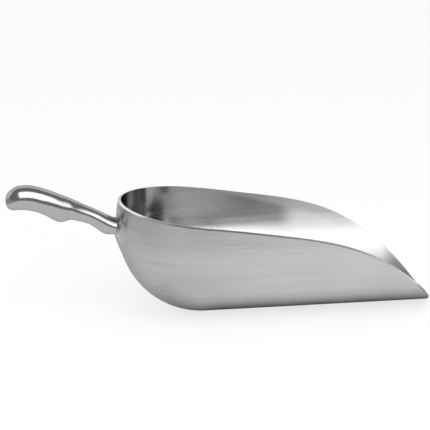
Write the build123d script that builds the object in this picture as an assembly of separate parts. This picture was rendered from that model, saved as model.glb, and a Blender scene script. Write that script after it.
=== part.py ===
from build123d import *
from math import cos, radians, sin
import os

# Feed scoop: a deep round-backed pan with a swept rim, and a solid finger grip
# that flares into the back wall. Millimetres, +Z up, +X towards the scoop's lip.
# The origin is on the ground plane under the middle of the overall box.

# ---- pan -------------------------------------------------------------------
PAN_RADIUS = 80.0        # outside radius of the round back, the keel and the plan
PAN_LENGTH = 306.0       # back wall to the tip of the lip
WALL = 3.0               # cast wall, the same all over
BACK_HEIGHT = 110.3      # ground to the rim at the back wall
LIP_HEIGHT = 1.8         # height of the ground edge at the tip of the lip
LIP_RADIUS = 110.0       # plan radius of the tip
# The rim's side profile: how far it has dropped, at these distances from the back
# wall, and how high it stands over the ground, at these distances from the tip.
RIM_DROPS = ((50.0, 6.1), (100.0, 12.1), (135.0, 17.6))
RIM_RISES = ((106.0, 80.0), (66.0, 63.4), (36.0, 42.1), (16.0, 23.3))
BEVEL_IN = 1.7           # ground bevel round the rim: across the wall
BEVEL_DOWN = 1.25        # and down the outside

# ---- grip ------------------------------------------------------------------
GRIP_LENGTH = 107.6      # back wall to the end of the butt
ROOT_DROP = 24.9         # rim at the back wall down to the centre of the grip's root
ROOT_SINK = 3.0          # how far the root runs inside the wall's face before it is coped
ROOT_HEIGHT = 24.6
ROOT_WIDTH = 22.5
BUTT_DEPTH = 18.0        # length of the rounded end of the butt
# Sections of the shank: share of the way from the wall to the rounded end, height of
# the centre above the root's centre, section height, section width.
SHANK_SECTIONS = (
    (0.10, 2.1, 18.6, 19.6),
    (0.18, 5.1, 20.4, 18.4),
    (0.27, 10.3, 18.3, 17.0),
    (0.37, 14.8, 18.0, 17.4),
    (0.46, 18.0, 19.7, 19.2),
    (0.55, 20.1, 23.4, 21.4),
    (0.64, 21.4, 27.8, 23.2),
    (0.73, 25.1, 27.3, 24.2),
    (0.83, 29.3, 25.4, 25.0),
    (0.94, 32.2, 24.6, 25.2),
)
# The same for the rounded end: share of it left before the end of the butt.
BUTT_SECTIONS = (
    (0.90, 32.9, 23.6, 25.1),
    (0.64, 32.7, 22.9, 23.8),
    (0.44, 31.9, 21.5, 21.3),
    (0.27, 31.1, 19.3, 17.8),
    (0.14, 30.6, 16.0, 13.5),
    (0.05, 30.4, 11.2, 8.5),
    (0.0, 30.3, 5.6, 4.0),
)

# ---- flare -----------------------------------------------------------------
# Sections of the flare that joins the grip to the back wall: distance out from the
# wall, or into it where negative, then the same as for the shank.
FLARE_SECTIONS = (
    (3.6, -2.8, 14.8, 22.0),
    (1.2, -2.45, 29.7, 27.0),
    (0.0, 1.4, 44.4, 33.0),
    (-6.0, -4.5, 62.2, 60.0),
    (-18.0, -4.5, 62.2, 60.0),
)

# ---- derived ---------------------------------------------------------------
OVER = 20.0              # how far cutting bodies run past what they cut
NEAR = 0.01              # closer than this counts as lying on a surface
KEEL_X = PAN_RADIUS      # the round back ends and the straight keel starts here
ROOT_Z = BACK_HEIGHT - ROOT_DROP
SHIFT = Pos(-(PAN_LENGTH - GRIP_LENGTH) / 2, 0, 0)


def pan_body(radius):
    """Solid inside a pan of this radius: a U section swept round the back and straight out."""
    top = BACK_HEIGHT + OVER
    half = make_face([
        CenterArc((0, PAN_RADIUS), radius, -90, 90),
        Line((radius, PAN_RADIUS), (radius, top)),
        Line((radius, top), (0, top)),
        Line((0, top), (0, PAN_RADIUS - radius)),
    ])
    back = revolve(Plane.YZ * half, Axis.Z, 180)
    front = extrude(Plane.YZ * (half + mirror(half, Plane.YZ)), PAN_LENGTH + OVER - KEEL_X)
    return Pos(KEEL_X, 0, 0) * (back + front)


def rim_points():
    """Side profile of the rim, from the back wall to the tip."""
    points = [(0.0, BACK_HEIGHT)]
    points += [(x, BACK_HEIGHT - drop) for x, drop in RIM_DROPS]
    points += [(PAN_LENGTH - x, height) for x, height in RIM_RISES]
    return points + [(PAN_LENGTH, LIP_HEIGHT)]


def above_rim():
    """Everything over the rim's side profile, wider than the pan."""
    points = rim_points()
    far = PAN_LENGTH + OVER
    high = BACK_HEIGHT + 2 * OVER
    slope = (points[-1][1] - points[-2][1]) / (points[-1][0] - points[-2][0])
    end = (far, LIP_HEIGHT + slope * OVER)
    outline = Wire([
        Spline(*points),
        Line(points[-1], end),
        Line(end, (far, high)),
        Line((far, high), (-OVER, high)),
        Line((-OVER, high), (-OVER, BACK_HEIGHT)),
        Line((-OVER, BACK_HEIGHT), points[0]),
    ])
    reach = PAN_RADIUS + OVER
    return extrude(Plane.XZ.offset(-reach) * Face(outline), 2 * reach)


def beyond_lip():
    """Everything past the rounded plan of the lip's tip."""
    block = Pos(PAN_LENGTH - OVER, 0, -OVER) * Box(
        3 * OVER, 2 * PAN_RADIUS + OVER, BACK_HEIGHT, align=(Align.MIN, Align.CENTER, Align.MIN)
    )
    disc = Pos(PAN_LENGTH - LIP_RADIUS, 0, -OVER) * Cylinder(
        LIP_RADIUS, BACK_HEIGHT, align=(Align.CENTER, Align.CENTER, Align.MIN)
    )
    return block - disc


def from_core(point):
    """Distance from the pan's core, which is its radius on the outside of the wall."""
    x = min(point.X - KEEL_X, 0.0)
    z = min(point.Z - PAN_RADIUS, 0.0)
    return Vector(x, point.Y, z).length


def on_outside(edge):
    return all(abs(from_core(edge @ at) - PAN_RADIUS) < NEAR for at in (0.2, 0.5, 0.8))


def bowl_body(outside):
    """The pan: its shell, cut to the rim and ground to a bevel all round."""
    shell = outside - pan_body(PAN_RADIUS - WALL) - above_rim() - beyond_lip()
    rim = shell.faces().filter_by(GeomType.EXTRUSION)
    lip = shell.faces().sort_by(Axis.X)[-1:]
    edges = [edge for face in rim + lip for edge in face.edges() if on_outside(edge)]
    return chamfer(edges, BEVEL_DOWN, BEVEL_IN)


def grip_section(distance, rise, height, width):
    """Section of the grip, this far out from the back wall: round on top and deeper beneath."""
    over = min(height, width) / 2
    under = height - over
    turns = [radians(angle) for angle in range(0, 360, 30)]
    points = [(width / 2 * cos(t), (over if sin(t) > 0 else under) * sin(t)) for t in turns]
    widest = ROOT_Z + rise + height / 2 - over
    return Plane.YZ.offset(-distance) * (Pos(0, widest) * make_face(Spline(*points, periodic=True)))


def grip_body():
    """The finger grip, from a root inside the wall to the rounded butt."""
    shank = GRIP_LENGTH - BUTT_DEPTH
    sections = [grip_section(-ROOT_SINK, 0.0, ROOT_HEIGHT, ROOT_WIDTH)]
    sections += [grip_section(share * shank, *rest) for share, *rest in SHANK_SECTIONS]
    sections += [grip_section(GRIP_LENGTH - left * BUTT_DEPTH, *rest) for left, *rest in BUTT_SECTIONS]
    return loft(sections)


def flare_body():
    """The flare around the grip's root, which widens into the wall."""
    return loft([grip_section(*section) for section in FLARE_SECTIONS], ruled=True)


def export(shape, name):
    export_step(SHIFT * shape, os.path.join("parts", name + ".step"))


os.makedirs("parts", exist_ok=True)
outside = pan_body(PAN_RADIUS)
grip = grip_body()
export(bowl_body(outside), "bowl")
export(grip - outside, "handle")
export(flare_body() - outside - grip, "root_weld")
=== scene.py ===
import math
from functools import reduce

import bpy
from mathutils import Matrix, Vector


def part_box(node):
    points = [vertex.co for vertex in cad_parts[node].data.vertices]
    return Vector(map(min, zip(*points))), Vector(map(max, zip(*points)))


# Feed scoop, in metres. The CAD meshes stay as they are and get procedural metals. The stage is
# a white floor and world, and a softbox and dark cards that no camera sees.

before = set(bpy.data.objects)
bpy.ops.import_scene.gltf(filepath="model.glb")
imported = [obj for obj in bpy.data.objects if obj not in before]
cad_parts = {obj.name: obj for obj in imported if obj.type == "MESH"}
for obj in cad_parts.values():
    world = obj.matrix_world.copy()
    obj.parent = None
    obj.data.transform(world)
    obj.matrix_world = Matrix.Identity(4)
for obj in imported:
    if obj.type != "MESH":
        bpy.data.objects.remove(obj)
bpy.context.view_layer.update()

# ---- camera ----------------------------------------------------------------
AZIMUTH, ELEVATION = 9.684, 15.713   # degrees
DISTANCE = 1.95494
SHIFT_RIGHT, SHIFT_UP = -0.01291, 0.04022
LENS, SENSOR = 167.86, 36.0          # millimetres
AIM_FROM_BACK, AIM_HEIGHT = 0.1071, 0.050

# ---- metals ----------------------------------------------------------------
EDGE_TINT = 0.62         # grey of the metals at a glancing angle
OUTER_SKIN = (0.0004, 0.0003)   # depths in the wall where its outside finish has ended and begins
INNER_SKIN = (0.0027, 0.0028)   # and where its inside finish has ended and begins
RIM_SLOPE = 0.27         # fall of the line that runs along under the rim
STRIP_LOW, STRIP_HIGH = 0.12178, 0.12778   # where that line stands, at the back wall

# ---- stage -----------------------------------------------------------------
WHITE = (1, 1, 1, 1)
FLOOR_GREY = (0.93, 0.93, 0.93, 1)
FLOOR_PLAIN = 0.75       # share of plain white in the floor that a direct ray sees
WORLD_LIGHT = 0.85
SOFTBOX_LIGHT = 2.6
DARK = 0.27              # level of the dark cards
TARGET = Vector((0, 0, 0.08))   # what the softbox points at


# ---------------------------------------------------------------- camera

def make_camera():
    azimuth, elevation = math.radians(AZIMUTH), math.radians(ELEVATION)
    forward = Vector((math.sin(azimuth) * math.cos(elevation),
                      math.cos(azimuth) * math.cos(elevation),
                      -math.sin(elevation)))
    right = Vector((math.cos(azimuth), -math.sin(azimuth), 0.0))
    up = right.cross(forward)
    aim = Vector((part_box("bowl")[0].x + AIM_FROM_BACK, 0.0, AIM_HEIGHT))
    camera = bpy.data.objects.new("camera", bpy.data.cameras.new("camera"))
    bpy.context.scene.collection.objects.link(camera)
    camera.data.lens = LENS
    camera.data.sensor_width = SENSOR
    camera.data.clip_start, camera.data.clip_end = 0.1, 200.0
    camera.location = aim - forward * DISTANCE + right * SHIFT_RIGHT + up * SHIFT_UP
    camera.rotation_mode = "QUATERNION"
    turn = Matrix((right, up, -forward)).transposed()
    camera.rotation_quaternion = turn.to_quaternion()
    bpy.context.scene.camera = camera


# ---------------------------------------------------------------- node helpers

class Nodes:
    """Short calls for building one node tree."""

    def __init__(self, tree):
        self.tree = tree
        tree.nodes.clear()

    def add(self, kind, **settings):
        node = self.tree.nodes.new(kind)
        for key, value in settings.items():
            setattr(node, key, value)
        return node

    def put(self, value, socket):
        """Set a socket to a value, or link an output to it."""
        if isinstance(value, (int, float, tuple)):
            socket.default_value = value
        else:
            self.tree.links.new(value, socket)

    def math(self, operation, a, b=0.0):
        node = self.add("ShaderNodeMath", operation=operation)
        self.put(a, node.inputs[0])
        self.put(b, node.inputs[1])
        return node.outputs[0]

    def total(self, *values):
        return reduce(lambda a, b: self.math("ADD", a, b), values)

    def product(self, *values):
        return reduce(lambda a, b: self.math("MULTIPLY", a, b), values)

    def vector(self, operation, a, b=(0.0, 0.0, 0.0)):
        node = self.add("ShaderNodeVectorMath", operation=operation)
        self.put(a, node.inputs[0])
        self.put(b, node.inputs[1])
        return node.outputs["Value" if operation == "LENGTH" else "Vector"]

    def split(self, vector):
        """The x, y and z of a vector."""
        node = self.add("ShaderNodeSeparateXYZ")
        self.put(vector, node.inputs[0])
        return tuple(node.outputs)

    def noise(self, where, scale, detail=3.0, rough=0.5, distortion=0.0):
        """Noise of this scale, or of one scale for each axis."""
        if isinstance(scale, tuple):
            where, scale = self.vector("MULTIPLY", where, scale), 1.0
        node = self.add("ShaderNodeTexNoise")
        self.put(where, node.inputs["Vector"])
        node.inputs["Scale"].default_value = scale
        node.inputs["Detail"].default_value = detail
        node.inputs["Roughness"].default_value = rough
        node.inputs["Distortion"].default_value = distortion
        return node.outputs["Fac"]

    def ramp(self, value, lo, hi, out_lo, out_hi, smooth=True):
        kind = "SMOOTHSTEP" if smooth else "LINEAR"
        node = self.add("ShaderNodeMapRange", interpolation_type=kind)
        self.put(value, node.inputs["Value"])
        names = ("From Min", "From Max", "To Min", "To Max")
        for name, number in zip(names, (lo, hi, out_lo, out_hi)):
            self.put(number, node.inputs[name])
        return node.outputs["Result"]

    def window(self, value, lo, hi, soft):
        """1 between lo and hi, fading to 0 over soft on either side."""
        return self.product(self.ramp(value, lo - soft, lo + soft, 0.0, 1.0),
                            self.ramp(value, hi - soft, hi + soft, 1.0, 0.0))

    def mix(self, share, a, b):
        node = self.add("ShaderNodeMix", data_type="FLOAT")
        self.put(share, node.inputs[0])
        self.put(a, node.inputs[2])
        self.put(b, node.inputs[3])
        return node.outputs[0]

    def mix_shaders(self, share, a, b):
        node = self.add("ShaderNodeMixShader")
        self.put(share, node.inputs[0])
        self.put(a, node.inputs[1])
        self.put(b, node.inputs[2])
        return node.outputs[0]

    def grey(self, value):
        node = self.add("ShaderNodeCombineColor")
        for socket in node.inputs[:3]:
            self.put(value, socket)
        return node.outputs[0]

    def bump(self, height, strength, distance, under=None):
        node = self.add("ShaderNodeBump")
        node.inputs["Strength"].default_value = strength
        node.inputs["Distance"].default_value = distance
        self.put(height, node.inputs["Height"])
        if under:
            self.put(under, node.inputs["Normal"])
        return node.outputs[0]


def material(name):
    """A new material; returns it, its nodes and its output."""
    mat = bpy.data.materials.new(name)
    mat.use_nodes = True
    n = Nodes(mat.node_tree)
    return mat, n, n.add("ShaderNodeOutputMaterial").inputs[0]


# ---------------------------------------------------------------- metals

def metal(name):
    """A metal; returns the material, its nodes, its shader and the object coordinates."""
    mat, n, surface = material(name)
    bsdf = n.add("ShaderNodeBsdfPrincipled")
    bsdf.inputs["Metallic"].default_value = 1.0
    bsdf.inputs["Specular Tint"].default_value = (EDGE_TINT, EDGE_TINT, EDGE_TINT, 1)
    n.put(bsdf.outputs[0], surface)
    where = n.add("ShaderNodeTexCoord").outputs["Object"]
    return mat, n, bsdf, where


def inside_tone(n, x, y, z, clouds, streaks):
    """Burnished inside. x is measured from the back wall.

    The broad dull and bright areas are painted, and stand in for reflections.
    """
    under_rim = n.total(z, n.product(x, RIM_SLOPE))
    below_strip = n.ramp(under_rim, STRIP_LOW, STRIP_HIGH, 1.0, 0.0)
    bright_side = n.product(
        n.ramp(x, 0.1692, 0.1942, 0.0, 0.3),
        n.ramp(under_rim, STRIP_LOW, STRIP_HIGH, 1.0, 0.3),
        n.ramp(x, 0.2092, 0.2492, 1.0, 0.0),
        n.ramp(z, 0.056, 0.068, 0.0, 0.8),
    )
    light = n.total(
        n.ramp(clouds, 0.25, 0.75, -0.05, 0.05),
        n.ramp(streaks, 0.3, 0.7, -0.02, 0.02),
        n.ramp(x, 0.044, 0.074, 0.33, 0.56),                       # forward of the back
        bright_side,
        n.ramp(under_rim, STRIP_LOW, STRIP_HIGH, 0.0, 0.08),       # strip along the rim
        n.ramp(x, 0.1692, 0.1992, 0.0, 0.07),                      # towards the lip
    )
    dull_side = n.product(
        n.ramp(x, 0.0992, 0.1492, 0.0, 0.17),
        n.ramp(x, 0.1692, 0.1892, 1.0, 0.0),
        n.ramp(z, 0.052, 0.064, 0.0, 1.0),
        below_strip,
    )
    # Painted reflection: dark streaks on the back wall, on one side only.
    painted_dark_streak = n.total(
        n.product(n.window(x, 0.038, 0.054, 0.004), n.window(z, 0.050, 0.090, 0.006), 0.24),
        n.product(n.window(x, 0.051, 0.060, 0.003), n.ramp(z, 0.093, 0.099, 0.0, 0.22)),
    )
    dark = n.total(
        dull_side,
        n.ramp(x, 0.2732, 0.2872, 0.0, 0.22),                      # tip of the lip
        n.product(painted_dark_streak, n.ramp(y, 0.0, 0.03, 0.0, 1.0)),           # one side of the back
    )
    return n.math("SUBTRACT", light, dark)


def bowl_metal():
    """Cast aluminium: satin outside with rubbing marks along it, burnished inside, ground rim.
    Painted light lightens the outside towards the front, a painted highlight brightens the rim,
    and painted reflections lie inside.
    """
    mat, n, bsdf, where = metal("bowl_satin")
    lo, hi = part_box("bowl")
    radius = (hi.y - lo.y) / 2

    # Distance from the pan's core is the radius outside the wall, and less through it.
    from_core = n.vector("SUBTRACT", where, (lo.x + radius, 0.0, radius))
    deep = n.vector("LENGTH", n.vector("MINIMUM", from_core, (0.0, 1.0, 0.0)))
    inside = n.ramp(deep, *(radius - depth for depth in INNER_SKIN), 0.0, 1.0, False)
    outside = n.ramp(deep, *(radius - depth for depth in OUTER_SKIN), 0.0, 1.0, False)

    streaks = n.noise(where, (7.0, 7.0, 260.0), 4.0, 0.55, 0.4)
    fine = n.noise(where, (30.0, 30.0, 1500.0), 2.0)
    clouds = n.noise(where, (14.0, 14.0, 26.0), 4.0, 0.6, 0.6)
    stain = n.noise(where, (16.0, 16.0, 150.0), 3.0, 0.6, 1.6)
    pits = n.noise(where, 900.0, 2.0)

    x, y, z = n.split(where)
    x = n.math("SUBTRACT", x, lo.x)
    outside_tone = n.total(
        n.ramp(clouds, 0.25, 0.75, 0.46, 0.51),
        n.ramp(streaks, 0.3, 0.7, -0.016, 0.016),
        # painted light: lighter towards the front
        n.ramp(x, 0.0, 0.18, -0.035, 0.07),
        n.ramp(stain, 0.60, 0.72, 0.0, -0.035),
    )
    # The rim: fine grain, and a painted highlight brightening it at the back and towards the lip.
    rim_grain_and_highlight = n.total(
        n.ramp(fine, 0.3, 0.7, 0.44, 0.56),
        n.ramp(x, 0.11, 0.19, 0.0, 0.4),
        n.ramp(x, 0.036, 0.048, 0.4, 0.0),
    )
    tone = n.mix(inside, rim_grain_and_highlight, inside_tone(n, x, y, z, clouds, streaks))
    n.put(n.grey(n.mix(outside, tone, outside_tone)), bsdf.inputs["Base Color"])

    rough_outside = n.total(
        n.ramp(clouds, 0.2, 0.8, 0.25, 0.34),
        n.ramp(fine, 0.3, 0.7, -0.03, 0.03),
    )
    rough_inside = n.total(
        n.ramp(clouds, 0.2, 0.8, -0.03, 0.03),
        n.ramp(streaks, 0.3, 0.7, -0.02, 0.02),
        n.ramp(x, 0.06, 0.20, 0.13, 0.42),
    )
    rough = n.mix(outside, n.mix(inside, 0.2, rough_inside), rough_outside)
    n.put(rough, bsdf.inputs["Roughness"])

    low = n.bump(clouds, 0.25, 0.0012)
    mid = n.bump(streaks, 0.3, 0.00015, low)
    n.put(n.bump(pits, 0.10, 0.0002, mid), bsdf.inputs["Normal"])
    return mat


def grip_metal():
    """Buffed aluminium with a little cast waviness and hairline scratches."""
    mat, n, bsdf, where = metal("grip_polish")
    wave = n.noise(where, 55.0, 2.0)
    grain = n.noise(where, 700.0, 3.0, 0.6)
    hair = n.noise(where, (60.0, 900.0, 900.0), 2.0)
    n.put(n.grey(n.ramp(grain, 0.3, 0.7, 0.39, 0.45)), bsdf.inputs["Base Color"])
    rough = n.total(n.ramp(wave, 0.3, 0.7, 0.11, 0.17), n.ramp(hair, 0.4, 0.7, 0.0, 0.04))
    n.put(rough, bsdf.inputs["Roughness"])
    low = n.bump(wave, 0.2, 0.0012)
    n.put(n.bump(grain, 0.12, 0.0002, low), bsdf.inputs["Normal"])
    return mat


def flare_metal():
    """The flare round the grip's root, dressed by hand: satin."""
    mat, n, bsdf, where = metal("weld_satin")
    grain = n.noise(where, 320.0, 3.0, 0.6)
    n.put(n.grey(n.ramp(grain, 0.3, 0.7, 0.45, 0.51)), bsdf.inputs["Base Color"])
    n.put(n.ramp(grain, 0.3, 0.7, 0.28, 0.36), bsdf.inputs["Roughness"])
    n.put(n.bump(grain, 0.2, 0.0003), bsdf.inputs["Normal"])
    return mat


# ---------------------------------------------------------------- stage

def plane(name, size_x, size_y, location, normal):
    """A rectangle that faces along the normal."""
    mesh = bpy.data.meshes.new(name)
    hx, hy = size_x / 2, size_y / 2
    corners = [(-hx, -hy, 0), (hx, -hy, 0), (hx, hy, 0), (-hx, hy, 0)]
    mesh.from_pydata(corners, [], [(0, 1, 2, 3)])
    o = bpy.data.objects.new(name, mesh)
    bpy.context.scene.collection.objects.link(o)
    o.location = location
    o.rotation_mode = "QUATERNION"
    o.rotation_quaternion = Vector(normal).to_track_quat("Z", "Y")
    return o


def sees_background(n):
    """1 for camera, glossy and transmission rays, which see the plain white background."""
    path = n.add("ShaderNodeLightPath").outputs
    direct = n.math("MAXIMUM", path["Is Camera Ray"], path["Is Glossy Ray"])
    return n.math("MAXIMUM", direct, path["Is Transmission Ray"])


def make_floor():
    """White floor: a direct ray sees mostly plain white, the rest is lit and shadowed."""
    floor = plane("floor", 60, 60, (0, 0, 0), (0, 0, 1))
    mat, n, surface = material("floor_white")
    bsdf = n.add("ShaderNodeBsdfDiffuse")
    bsdf.inputs["Color"].default_value = FLOOR_GREY
    white = n.add("ShaderNodeEmission")
    white.inputs["Color"].default_value = WHITE
    white.inputs["Strength"].default_value = 1.0
    share = n.product(sees_background(n), FLOOR_PLAIN)
    n.put(n.mix_shaders(share, bsdf.outputs[0], white.outputs[0]), surface)
    floor.data.materials.append(mat)


def make_world():
    """Even studio light, which direct rays see as plain white."""
    world = bpy.data.worlds.new("studio")
    bpy.context.scene.world = world
    world.use_nodes = True
    n = Nodes(world.node_tree)
    out = n.add("ShaderNodeOutputWorld")
    light = n.add("ShaderNodeBackground")
    light.inputs["Color"].default_value = WHITE
    light.inputs["Strength"].default_value = WORLD_LIGHT
    seen = n.add("ShaderNodeBackground")
    seen.inputs["Color"].default_value = WHITE
    seen.inputs["Strength"].default_value = 1.0
    n.put(n.mix_shaders(sees_background(n), light.outputs[0], seen.outputs[0]), out.inputs[0])


def card(name, size_x, size_y, location, normal, level, edges=None, outer=0.15, lights=False):
    """A glowing card that shows in reflections, and lights matt surfaces only where lights is set.

    With edges, it fades to the outer level over these shares of its half sizes.
    """
    o = plane(name, size_x, size_y, location, normal)
    mat, n, surface = material(name)
    emit = n.add("ShaderNodeEmission")
    emit.inputs["Color"].default_value = WHITE
    emit.inputs["Strength"].default_value = level
    if edges:
        where = n.add("ShaderNodeTexCoord").outputs["Object"]
        x, y, _ = n.split(n.vector("ABSOLUTE", where))
        across = n.ramp(x, size_x / 2 * (1 - edges[0]), size_x / 2, 1.0, 0.0)
        along = n.ramp(y, size_y / 2 * (1 - edges[1]), size_y / 2, 1.0, 0.0)
        n.put(n.mix(n.product(across, along), outer, level), emit.inputs["Strength"])
    n.put(emit.outputs[0], surface)
    o.data.materials.append(mat)
    o.visible_camera = False
    o.visible_shadow = False
    o.visible_diffuse = lights


def polar(elevation, distance):
    """A point this far from the target: 0 is in front, 90 overhead, more is behind."""
    e = math.radians(elevation)
    return TARGET + Vector((0, -distance * math.cos(e), distance * math.sin(e)))


def make_cards():
    front = polar(46, 1.3)
    card("softbox", 2.0, 1.75, front, TARGET - front, SOFTBOX_LIGHT, (0.4, 0.4), lights=True)

    # Walls and ceiling of a dark room in front of the scoop.
    card("flag_front", 6.0, 1.9, (0, -3.2, 0.95), (0, 1, 0), DARK)
    card("flag_floor", 6.0, 2.8, (0, -1.95, 0.001), (0, 0, 1), DARK)
    card("flag_top", 6.0, 2.4, polar(97, 2.8), (0, 0, -1), DARK)
    card("flag_left", 2.8, 4.6, (-2.4, -1.2, 1.4), (1, 0, 0), DARK)
    card("flag_right", 2.8, 4.6, (2.4, -1.2, 1.4), (-1, 0, 0), DARK)

    # Greyer floor beside the scoop and before the mouth, and under the keel a dark card that is a
    # painted shadow, seen only in reflections.
    card("flag_floor_left", 1.8, 1.5, (-1.32, -0.2, 0.001), (0, 0, 1), 0.5)
    card("flag_floor_right", 1.8, 1.5, (1.25, -0.2, 0.001), (0, 0, 1), 0.3)
    card("painted_keel_shadow", 0.36, 0.112, (0.088, 0.0, 0.001), (0, 0, 1), 0.04, (0.5, 0.65), 0.85)
    card("flag_mouth", 0.5, 0.4, (0.47, 0.19, 0.001), (0, 0, 1), 0.08)


make_camera()
make_world()
make_floor()
make_cards()

materials = {"bowl": bowl_metal(), "handle": grip_metal(), "root_weld": flare_metal()}
for name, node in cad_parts.items():
    node.data.materials.clear()
    node.data.materials.append(materials[name])

bpy.context.scene.view_settings.view_transform = "Standard"
